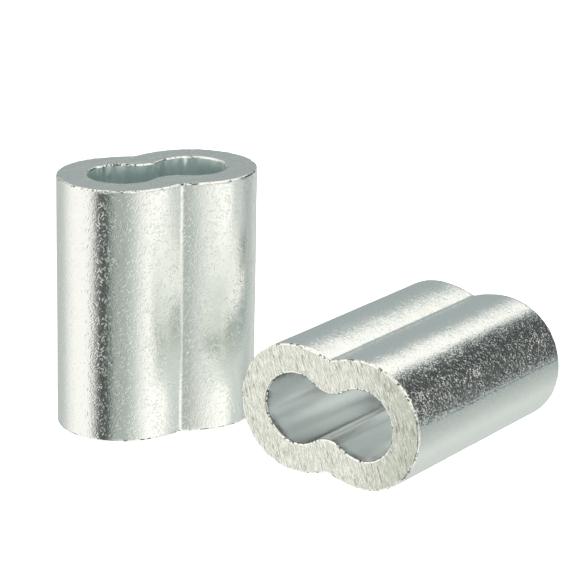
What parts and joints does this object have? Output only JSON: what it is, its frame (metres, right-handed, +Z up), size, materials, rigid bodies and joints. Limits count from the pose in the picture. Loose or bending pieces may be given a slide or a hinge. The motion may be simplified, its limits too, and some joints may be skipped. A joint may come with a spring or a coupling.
{
  "type": "hourglass wire rope ferrule pair",
  "caption": "Aluminium hourglass ferrules, one standing and one lying, that are pressed around two parts of a wire rope to hold an eye.",
  "frame": {"origin": "on the bench, in the middle of the box around the pair", "axes": "+Z up along the bores of the upright ferrule, +Y along the bores of the lying ferrule, +X across the lying ferrule's width, away from the upright one"},
  "size_m": [0.0362, 0.027, 0.022],
  "materials": {
    "upright_aluminium": "tumbled bright extruded wall, finely sawn ends",
    "lying_aluminium": "tumbled bright extruded wall, coarsely sawn ends"
  },
  "bodies": {
    "upright": {"upright_sleeve": "upright_aluminium"},
    "lying": {"lying_sleeve": "lying_aluminium"}
  },
  "joints": [
    {"name": "lying_sleeve_lift", "type": "slide", "parent": "upright", "child": "lying", "axis": [0, 0, 1], "range_m": [0, 0.03]}
  ]
}
